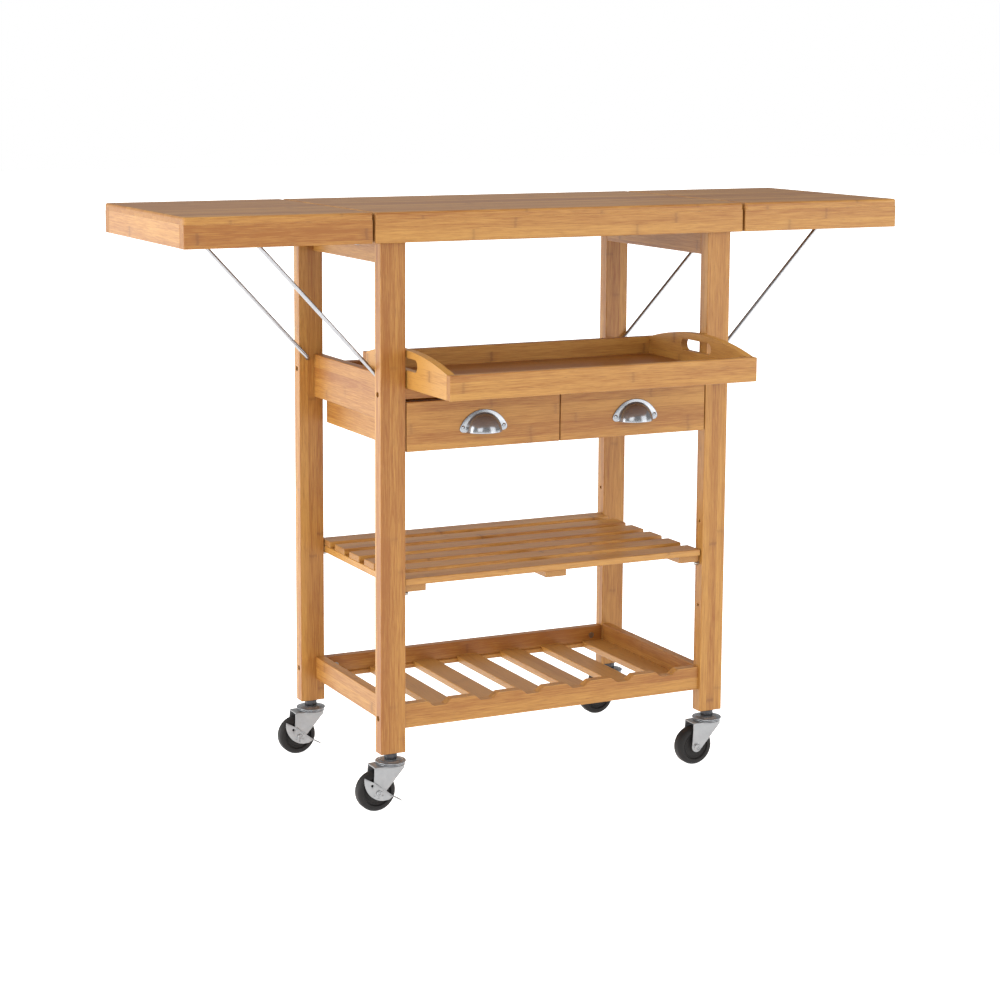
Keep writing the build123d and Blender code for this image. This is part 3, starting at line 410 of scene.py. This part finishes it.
def cutBar(name, start, end, turn=0.0, about=None):
    middle = (Vector(start) + Vector(end)) / 2
    bpy.ops.object.select_all(action="DESELECT")
    bpy.ops.mesh.primitive_cube_add(size=mm)
    piece = bpy.context.object
    piece.name = name
    bpy.ops.object.mode_set(mode="EDIT")
    bpy.ops.mesh.select_all(action="SELECT")
    bpy.ops.transform.resize(value=Vector(end) - Vector(start))
    bpy.ops.transform.translate(value=middle * mm)
    if turn:
        bpy.ops.transform.rotate(value=-turn, orient_axis="Y", center_override=about)
    bpy.ops.object.mode_set(mode="OBJECT")
    return piece


def roundEdges(piece, width, segments=3, angle=35):
    selectOnly(piece)
    bevel = piece.modifiers.new("roundEdges", "BEVEL")
    bevel.width = width * mm
    bevel.segments = segments
    bevel.limit_method = "ANGLE"
    bevel.angle_limit = math.radians(angle)
    bevel.use_clamp_overlap = True
    bpy.ops.object.modifier_apply(modifier=bevel.name)
    return piece


def cutAway(piece, *tools):
    for tool in tools:
        selectOnly(piece)
        cut = piece.modifiers.new("cutAway", "BOOLEAN")
        cut.operation = "DIFFERENCE"
        cut.solver = "EXACT"
        cut.object = tool
        bpy.ops.object.modifier_apply(modifier=cut.name)
        bpy.data.objects.remove(tool, do_unlink=True)
    return piece


def joinPieces(name, *pieces):
    selectOnly(pieces[0])
    for piece in pieces:
        piece.select_set(True)
    bpy.ops.object.join()
    pieces[0].name = name
    return pieces[0]


def copyPiece(piece, name, move):
    selectOnly(piece)
    bpy.ops.object.duplicate(linked=False)
    twin = bpy.context.object
    twin.name = name
    bpy.ops.transform.translate(value=move)
    bpy.ops.object.transform_apply(location=True, rotation=True, scale=True)
    return twin


def finishPiece(piece, finish, slot, body, *replaced):
    selectOnly(piece)
    bpy.ops.object.shade_smooth_by_angle(angle=math.radians(32))
    piece.data.materials.clear()
    piece.data.materials.append(finish)
    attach(piece, body)
    if replaced:
        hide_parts(*replaced)


def middleOf(node):
    low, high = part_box(node)
    return (Vector(low) + Vector(high)) / 2


# Wheels: hub, thin web with a raised ring, and a rim with round shoulders
wheel = dict(bore=3.3, hub=8.5, hubHalf=11.0, webHalf=7.3, rimInner=21.0, faceHalf=10.0, shoulder=6.0,
             outer=30.0)


def makeWheel(name, centre):
    w = wheel
    half = [(w["bore"], w["hubHalf"] - 0.4), (w["bore"] + 0.4, w["hubHalf"])]
    half += arc((w["hub"] - 0.9, w["hubHalf"] - 0.9), 0.9, 90, 0, 3)
    half += [(w["hub"] + 0.1, w["webHalf"] + 1.0), (w["hub"] + 1.1, w["webHalf"])]
    half += [(w["rimInner"] - 4.4, w["webHalf"]), (w["rimInner"] - 3.9, w["webHalf"] + 0.5),
             (w["rimInner"] - 3.1, w["webHalf"] + 0.5), (w["rimInner"] - 2.6, w["webHalf"])]
    half += [(w["rimInner"] - 0.9, w["webHalf"]), (w["rimInner"] - 0.1, w["webHalf"] + 0.8)]
    half += arc((w["rimInner"] + 0.9, w["faceHalf"] - 0.8), 0.8, 180, 90, 3)
    half += arc((w["outer"] - w["shoulder"], w["faceHalf"] - w["shoulder"]), w["shoulder"], 90, 0, 7)
    profile = half + [(radius, -side) for radius, side in reversed(half)]
    profile.append(profile[0])
    return lathe(name, profile, centre, "Y", 64)


# Forks: a stamped plate with two cheeks folded down beside the wheel, and a riveted axle
fork = dict(top=38.7, topMetal=2.5, metal=2.0, gap=24.0, disc=21.5, rear=31.0, front=17.0, boss=8.5,
            trail=25.0, cornerRadius=2.5, headRadius=4.6, headHeight=1.8)


def makeFork(name, axle, headOut):
    f = fork
    outer = f["gap"] / 2 + f["metal"]
    swivel = axle + Vector((f["trail"], 0, 0)) * mm
    nose = arc((0, 0), f["disc"], -90 - 45, 90 + 45, 30)
    corner = f["cornerRadius"]
    tail = arc((-f["rear"] + corner, outer - corner), corner, 90, 180, 5)
    tail += arc((-f["rear"] + corner, -outer + corner), corner, 180, 270, 5)
    outline = nose + tail
    top = cutPlate("forkTop", outline, swivel, "Z", f["top"] - f["topMetal"], f["top"])
    roundEdges(top, 1.0, 3)
    cheeks = []
    for label, inner in (("front", -outer), ("back", f["gap"] / 2)):
        start = math.degrees(math.atan2(f["top"], f["front"] + f["trail"] + 4)) - 90
        side = arc((0, 0), f["boss"], start - 4, -180 + 4, 18)
        side += [(-f["rear"] + f["trail"] - 0.4, f["top"] - 7.0)]
        side += arc((-f["rear"] + f["trail"] + 2.0, f["top"] - 2.6), 2.2, 180, 90, 4)
        side += arc((f["front"] + f["trail"] - 4.0, f["top"] - 3.9), 3.5, 90, -30, 6)
        cheek = cutPlate("forkCheek", side, axle, "Y", inner, inner + f["metal"])
        cheeks.append(roundEdges(cheek, 0.6, 3))
        away = -1 if label == "front" else 1
        face = -outer if label == "front" else outer
        ring = [(5.6, face - away * 0.5), (5.6, face + away * 0.35), (6.3, face + away * 0.6),
                (7.0, face + away * 0.35), (7.0, face - away * 0.5), (5.6, face - away * 0.5)]
        cheeks.append(lathe("cheekRing", ring, axle, "Y", 40))
    rivets = []
    for away, face in ((-1, -headOut), (1, outer)):
        crown = face + away * f["headHeight"]
        head = [(0, face - away * 1.0), (f["headRadius"], face - away * 1.0),
                (f["headRadius"], face + away * 0.9), (f["headRadius"] - 0.7, crown), (2.4, crown),
                (1.7, face + away * 0.9), (0, face + away * 0.7)]
        rivets.append(lathe("axleHead", head, axle, "Y", 32))
    pin = [(0, -headOut), (3.0, -headOut), (3.0, outer), (0, outer)]
    rivets.append(lathe("axlePin", pin, axle, "Y", 32))
    return joinPieces(name, top, *cheeks, *rivets)


# Swivel races: a dished cap over a ball groove, and the nut on the stem above it
# cap is (radius, depth below the top) from its rim inwards
race = dict(bottom=69.1, groove=1.4, top=76.0, radius=23.0, bore=4.0, nutFlats=17.0, nutHeight=9.0, stem=42.0,
            cap=((20.5, 2.8), (18.6, 2.2), (17.3, 1.1), (15.8, 0.6), (11.8, 0.2)))


def makeRace(name, swivel):
    r = race
    low, high = r["bottom"], r["top"]
    profile = [(r["bore"], low - 4.5), (6.4, low - 4.5), (6.4, low)]
    profile += arc((r["radius"] - 2.1, low + 0.8), 0.8, -90, 70, 4)
    neck = r["radius"] - 2.9
    groove = low + r["groove"]
    profile += [(neck, groove + 0.4), (neck, groove + 1.0), (neck + 1.6, groove + 1.0)]
    profile += arc((r["radius"] - 1.0, groove + 2.0), 1.0, -60, 90, 5)
    profile += [(radius, high - depth) for radius, depth in r["cap"]]
    profile += [(r["bore"], high), (r["bore"], low - 4.5)]
    return lathe(name, profile, swivel, "Z", 64)


def makeStemNut(name, swivel):
    r = race
    corner = r["nutFlats"] / 2 / math.cos(math.pi / 6)
    outline = arc((0, 0), corner, 30, 330, 5)
    nut = cutPlate("nutBlank", outline, swivel, "Z", r["top"], r["top"] + r["nutHeight"])
    roundEdges(nut, 0.9, 2, 45)
    foot, head = r["top"], r["top"] + r["stem"]
    collar = lathe("collar", [(0, foot), (7.6, foot), (7.2, foot + 0.9), (0, foot + 0.9)], swivel, "Z", 32)
    stem = lathe("stem", [(0, foot), (r["bore"], foot), (r["bore"], head), (0, head)], swivel, "Z", 24)
    return joinPieces(name, nut, collar, stem)


# Brake levers: a pressed wing on the axle with a folded edge and a foot tab
lever = dict(inner=-14.3, metal=1.5, tip=(-22.8, 25.0), shoulder=(-4.0, 14.6), heel=(23.0, -7.2),
             toe=(15.5, -12.0), belly=(6.0, -12.4), back=(-16.5, 0.5), pedal=(37.0, -15.0),
             hole=(-10.8, 12.2), holeRadius=2.0,
             fold=2.5, pedalWidth=14.0, markRadius=8.2)


# Points on the arc through three places, clockwise
def through(start, middle, end, count):
    (ax, ay), (bx, by), (cx, cy) = start, middle, end
    scale = 2 * (ax * (by - cy) + bx * (cy - ay) + cx * (ay - by))
    aa, bb, cc = ax * ax + ay * ay, bx * bx + by * by, cx * cx + cy * cy
    ux = (aa * (by - cy) + bb * (cy - ay) + cc * (ay - by)) / scale
    uy = (aa * (cx - bx) + bb * (ax - cx) + cc * (bx - ax)) / scale
    radius = math.hypot(ax - ux, ay - uy)
    first = math.degrees(math.atan2(ay - uy, ax - ux))
    last = math.degrees(math.atan2(cy - uy, cx - ux))
    if last > first:
        last -= 360
    return arc((ux, uy), radius, first, last, count)


def makeLever(name, axle):
    v = lever
    outer = v["inner"] - v["metal"]
    outline = [v["shoulder"], v["heel"], v["toe"]] + through(v["belly"], v["back"], v["tip"], 14)
    wing = cutPlate("wing", outline, axle, "Y", v["inner"], outer)
    hole = lathe("hole", [(0, -20), (v["holeRadius"], -20), (v["holeRadius"], -10), (0, -10)],
                 axle + Vector((v["hole"][0], 0, v["hole"][1])) * mm, "Y", 20)
    cutAway(wing, hole)
    roundEdges(wing, 0.4, 2, 50)
    run = Vector((v["pedal"][0] - v["heel"][0], v["pedal"][1] - v["heel"][1]))
    fall = math.atan2(-run.y, run.x)
    heel = axle + Vector((v["heel"][0], 0, v["heel"][1])) * mm
    x, y, z = heel / mm
    back = y + v["inner"]
    front = back - v["fold"] - v["metal"]
    under = z - v["metal"]
    tab = cutBar("tab", (x - 3, front, under), (x + run.length / 2, back, z), fall, heel)
    pad = cutBar("pad", (x + run.length / 2 - 1, front, under),
                 (x + run.length, front + v["pedalWidth"], z), fall, heel)
    edge = Vector((v["heel"][0] - v["shoulder"][0], v["heel"][1] - v["shoulder"][1]))
    slope = math.atan2(-edge.y, edge.x)
    corner = axle + Vector((v["shoulder"][0], 0, v["shoulder"][1])) * mm
    x, y, z = corner / mm
    fold = cutBar("fold", (x - 0.5, y + outer - 1.4, z - 1.1),
                  (x + edge.length - 0.5, y + v["inner"], z), slope, corner)
    roundEdges(tab, 0.4, 2)
    roundEdges(pad, 0.5, 2)
    roundEdges(fold, 0.4, 2)
    marks = []
    for turn in (-150, -95, -40, 20):
        across, up = onCircle(v["markRadius"], turn)
        spot = axle + Vector((across, 0, up)) * mm
        mark = [(0, outer + 0.6), (1.5, outer + 0.6), (1.5, outer - 0.4),
                (1.1, outer - 0.8), (0, outer - 0.9)]
        marks.append(lathe("pressMark", mark, spot, "Y", 16))
    return joinPieces(name, wing, tab, pad, fold, *marks)


# Cup pulls: crescent flange, half-round cup with a rolled lip, two cross-head screws
pull = dict(arcRadius=42.0, height=33.0, flange=1.6, lobe=6.0, dome=24.4, wall=1.6, widen=1.18, heighten=1.13,
            screwApart=67.0, screwUp=7.5, headRadius=3.2, headHeight=1.6)


def makePull(name, base):
    p = pull
    below = p["height"] - p["arcRadius"]
    # lobes are rounded inside the arc and the straight lower edge
    reach = math.sqrt((p["arcRadius"] - p["lobe"]) ** 2 - (p["lobe"] - below) ** 2)
    lean = math.degrees(math.atan2(p["lobe"] - below, reach))
    outline = arc((reach, p["lobe"]), p["lobe"], -90, lean, 8)
    outline += arc((0, below), p["arcRadius"], lean, 180 - lean, 40)[1:-1]
    outline += arc((-reach, p["lobe"]), p["lobe"], 180 - lean, 270, 8)
    flange = cutPlate("flange", outline, base, "Y", 0, -p["flange"])
    roundEdges(flange, 0.7, 3, 50)

    flare = [(p["dome"] + past, -p["flange"] - out) for past, out in
             ((1.2, -0.2), (0.7, 0.1), (0.3, 0.7), (-0.1, 1.8))]
    curve = [(p["dome"] * math.cos(math.radians(turn)), -p["dome"] * math.sin(math.radians(turn)))
             for turn in (14, 22, 30, 38, 46, 54, 62, 69, 76, 82, 87, 90)]
    points = [base + Vector((radius, depth, 0)) * mm for radius, depth in flare + curve]
    cup = drawLine("cup", points)
    bpy.ops.mesh.select_all(action="SELECT")
    bpy.ops.mesh.spin(steps=48, angle=math.pi, center=base, axis=(0, 1, 0))
    bpy.ops.mesh.select_all(action="SELECT")
    bpy.ops.transform.resize(value=(p["widen"], 1, p["heighten"]), center_override=base)
    tidyMesh(cup)
    selectOnly(cup)
    shell = cup.modifiers.new("wall", "SOLIDIFY")
    shell.thickness = p["wall"] * mm
    shell.offset = -1
    bpy.ops.object.modifier_apply(modifier=shell.name)
    roundEdges(cup, 0.5, 3, 50)

    screws = []
    for side in (-1, 1):
        spot = base + Vector((side * p["screwApart"] / 2, 0, p["screwUp"])) * mm
        face = -p["flange"]
        head = [(0, face + 0.8), (p["headRadius"], face + 0.8)]
        head += [(p["headRadius"] * math.cos(math.radians(turn)),
                  face - p["headHeight"] * math.sin(math.radians(turn))) for turn in (0, 25, 50, 72, 90)]
        screw = lathe("screw", head, spot, "Y", 32)
        x, y, z = spot / mm
        front = y + face - p["headHeight"]
        slotA = cutBar("slotA", (x - 2.1, front - 1, z - 0.5), (x + 2.1, front + 0.9, z + 0.5), 0.6, spot)
        slotB = cutBar("slotB", (x - 0.5, front - 1, z - 2.1), (x + 0.5, front + 0.9, z + 2.1), 0.6, spot)
        screws.append(cutAway(screw, slotA, slotB))
    return joinPieces(name, flange, cup, *screws)


firstAxle = middleOf("caster_wheel_front_left")
wheelPiece = makeWheel("wheelTyre_front_left", firstAxle)
leverPiece = makeLever("brakeLever_front_left", firstAxle)
leverRoom = lever["metal"] + 0.6
plainHead = fork["gap"] / 2 + fork["metal"]
brakedFork = makeFork("stampedFork_front_left", firstAxle, plainHead + leverRoom)
rightAxle = middleOf("caster_wheel_front_right")
plainFork = makeFork("stampedFork_front_right", rightAxle, plainHead)
swivel = Vector((firstAxle.x + fork["trail"] * mm, firstAxle.y, 0))
racePiece = makeRace("swivelRace_front_left", swivel)
nutPiece = makeStemNut("stemNut_front_left", swivel)
print("first caster modelled")

for corner in corners:
    axle = middleOf("caster_wheel_" + corner)
    move = axle - firstAxle
    braked = corner.endswith("left")
    first = corner == "front_left"
    tyre = wheelPiece if first else copyPiece(wheelPiece, "wheelTyre_" + corner, move)
    finishPiece(tyre, rubber, "black_wheel", "wheel_" + corner, "caster_wheel_" + corner)
    source = brakedFork if braked else plainFork
    home = firstAxle if braked else rightAxle
    own = first or corner == "front_right"
    forkPiece = source if own else copyPiece(source, "stampedFork_" + corner, axle - home)
    finishPiece(forkPiece, zinc, "zinc_plate", "caster_" + corner, "caster_fork_" + corner)
    if braked:
        wing = leverPiece if first else copyPiece(leverPiece, "brakeLever_" + corner, move)
        finishPiece(wing, zinc, "zinc_plate", "brake_" + corner, "brake_lever_" + corner)
    ring = racePiece if first else copyPiece(racePiece, "swivelRace_" + corner, move)
    nut = nutPiece if first else copyPiece(nutPiece, "stemNut_" + corner, move)
    finishPiece(ring, raceSteel, "zinc_plate", "frame", "caster_stems")
    finishPiece(nut, darkSteel, "hardware_steel", "frame", "caster_stems")
print("casters placed")



# The middle of a pull's straight lower edge, on the drawer's front
def pullBase(node):
    low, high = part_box(node)
    return Vector(((low[0] + high[0]) / 2, low[1] + pull["dome"] * mm, low[2]))


leftBase = pullBase("cup_pull_left")
rightBase = pullBase("cup_pull_right")
leftPull = makePull("cupPull_left", leftBase)
rightPull = copyPiece(leftPull, "cupPull_right", rightBase - leftBase)
finishPiece(leftPull, chrome, "chrome", "left_drawer", "cup_pull_left")
finishPiece(rightPull, chrome, "chrome", "right_drawer", "cup_pull_right")
print("cup pulls placed")


# Which finish each CAD node takes
finishOf = {
    "worktop_panel": bamboos["bambooTop"], "worktop_long_boards": bamboos["bambooRail"],
    "worktop_end_boards": bamboos["bambooCross"], "worktop_corner_blocks": bamboos["bambooCross"],
    "upper_side_rails": bamboos["bambooCross"], "drawer_case_sides": bamboos["bambooCross"],
    "tray_rail_front": bamboos["bambooRail"], "tray_rail_back": bamboos["bambooShadedRail"],
    "drawer_divider": bamboos["bambooCross"], "drawer_runners": bamboos["bambooCross"],
    "shelf_slats": bamboos["bambooLitShelf"], "shelf_battens": bamboos["bambooLitSlat"],
    "lower_rail_front": bamboos["bambooRail"], "lower_rail_back": bamboos["bambooShadedRail"],
    "lower_side_rails": bamboos["bambooCross"], "lower_slats": bamboos["bambooLitSlat"],
    "lower_ledgers": bamboos["bambooTop"], "frame_dowels": bamboos["bambooCross"],
    "tray_floor": bamboos["bambooShadedTop"], "tray_long_boards": bamboos["bambooRail"],
    "tray_end_boards": bamboos["bambooLitCross"],
    "shelf_pins": steel, "frame_bolts": darkSteel, "barrel_nuts": steel, "hinge_fixed_plates": steel,
}
for corner in corners:
    finishOf["leg_" + corner] = bamboos["bambooLeg"]
for side in sides:
    finishOf["leaf_panel_" + side] = bamboos["bambooTop"]
    finishOf["leaf_long_boards_" + side] = bamboos["bambooShadedRail" if side == "left" else "bambooRail"]
    finishOf["leaf_cross_boards_" + side] = bamboos["bambooCross"]
    finishOf["leaf_catch_" + side] = bamboos["bambooLitSlat"]
    finishOf["hinge_leaf_plates_" + side] = steel
    finishOf["stay_" + side] = wire
    finishOf["drawer_front_" + side] = bamboos["bambooRail"]
    finishOf["drawer_box_" + side] = bamboos["bambooCross"]
    finishOf["drawer_bottom_" + side] = bamboos["bambooTop"]
for name, finish in finishOf.items():
    nodes[name].data.materials.clear()
    nodes[name].data.materials.append(finish)
for name in nodes:
    if name not in finishOf:
        nodes[name].data.materials.clear()
        nodes[name].data.materials.append(zinc)

# Floor and light
studio = dict(
    floorSize=40.0, worldLight=0.877, worldGloss=0.33, floorGloss=1.10,
    softboxes=dict(
        frontLeft=dict(place=(-2.4, -4.0, 1.9), aim=(0, 0, 0.5), size=2.2, power=41.0),
        leftPanel=dict(place=(-3.6, 0.2, 1.0), aim=(0, 0, 0.5), size=2.6, power=86.0),
        backLeft=dict(place=(-2.4, 3.4, 0.8), aim=(0, 0, 0.4), size=2.8, power=16.0),
        overhead=dict(place=(0.0, -0.6, 3.2), aim=(0, 0, 0.5), size=2.4, power=10.0),
        backWall=dict(place=(0.9, 4.2, 1.1), aim=(0, 0, 0.6), size=3.2, power=4.4),
        frontRight=dict(place=(3.0, -3.6, 1.2), aim=(0, 0, 0.5), size=2.4, power=45.0),
    ),
)
bpy.ops.object.select_all(action="DESELECT")
bpy.ops.mesh.primitive_plane_add(size=studio["floorSize"])
floor = bpy.context.object
floor.name = "floor"
floorMaterial, floorTree, floorShader = newMaterial("paleFloor", Roughness=0.9)
floorShader.inputs["Base Color"].default_value = (0.9, 0.9, 0.9, 1)
floorShader.inputs["Emission Color"].default_value = (1, 1, 1, 1)
floorRays = addNode(floorTree, "ShaderNodeLightPath").outputs
floorGlow = calc(floorTree, "MULTIPLY", floorRays["Is Glossy Ray"], studio["floorGloss"])
floorGlow = calc(floorTree, "MAXIMUM", floorRays["Is Camera Ray"], floorGlow)
floorTree.links.new(floorGlow, floorShader.inputs["Emission Strength"])
floor.data.materials.append(floorMaterial)

world = bpy.data.worlds.new("studio")
bpy.context.scene.world = world
world.use_nodes = True
worldTree = world.node_tree
worldRays = addNode(worldTree, "ShaderNodeLightPath").outputs
worldGlow = ramp(worldTree, worldRays["Is Glossy Ray"], 0, 1, studio["worldLight"], studio["worldGloss"])
worldGlow = calc(worldTree, "MAXIMUM", worldGlow, worldRays["Is Camera Ray"])
worldTree.links.new(worldGlow, worldTree.nodes["Background"].inputs["Strength"])
worldTree.nodes["Background"].inputs["Color"].default_value = (1, 1, 1, 1)


def addSoftbox(name, place, aim, size, power):
    lamp = bpy.data.lights.new(name, "AREA")
    lamp.shape = "SQUARE"
    lamp.size = size
    lamp.energy = power
    box = bpy.data.objects.new(name, lamp)
    bpy.context.scene.collection.objects.link(box)
    facing = (Vector(aim) - Vector(place)).to_track_quat("-Z", "Y").to_matrix().to_4x4()
    box.matrix_world = Matrix.Translation(place) @ facing


for name, values in studio["softboxes"].items():
    addSoftbox(name, **values)
bpy.context.scene.view_settings.view_transform = "Standard"
print("studio set")
